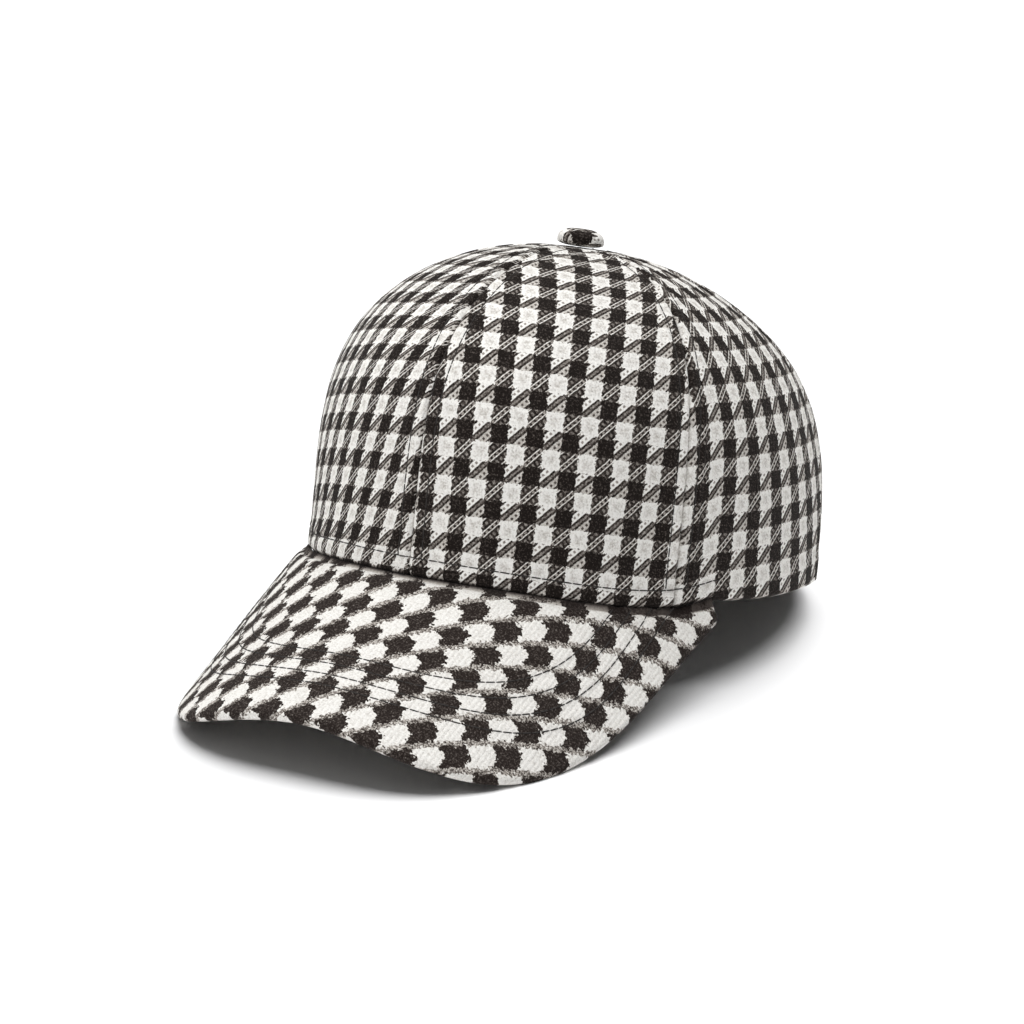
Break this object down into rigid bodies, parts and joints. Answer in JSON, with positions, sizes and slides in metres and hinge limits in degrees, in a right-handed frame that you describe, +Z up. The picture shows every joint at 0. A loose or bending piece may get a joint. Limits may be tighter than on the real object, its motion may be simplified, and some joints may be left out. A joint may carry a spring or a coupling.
{
  "type": "houndstooth cap",
  "caption": "Soft panelled cap with a curved stitched brim and a cloth-covered button, in woollen houndstooth cloth, lying on a flat surface.",
  "frame": {"origin": "on the floor under the middle of the whole cap", "axes": "+Z up; -Y out of the front, where the brim points; +X towards the wearer's left"},
  "size_m": [0.1634, 0.2756, 0.1404],
  "materials": {
    "crown_cloth": "napped black and off-white houndstooth wool",
    "brim_cloth": "napped black and off-white houndstooth wool, stitched in rows",
    "button_cloth": "napped houndstooth wool, mostly a black check"
  },
  "bodies": {
    "root": {"crown_front_left": "crown_cloth", "crown_front_right": "crown_cloth", "crown_side_left": "crown_cloth", "crown_side_right": "crown_cloth", "crown_back_left": "crown_cloth", "crown_back_right": "crown_cloth", "brim_top": "brim_cloth", "brim_under": "brim_cloth", "button": "button_cloth"}
  },
  "joints": []
}
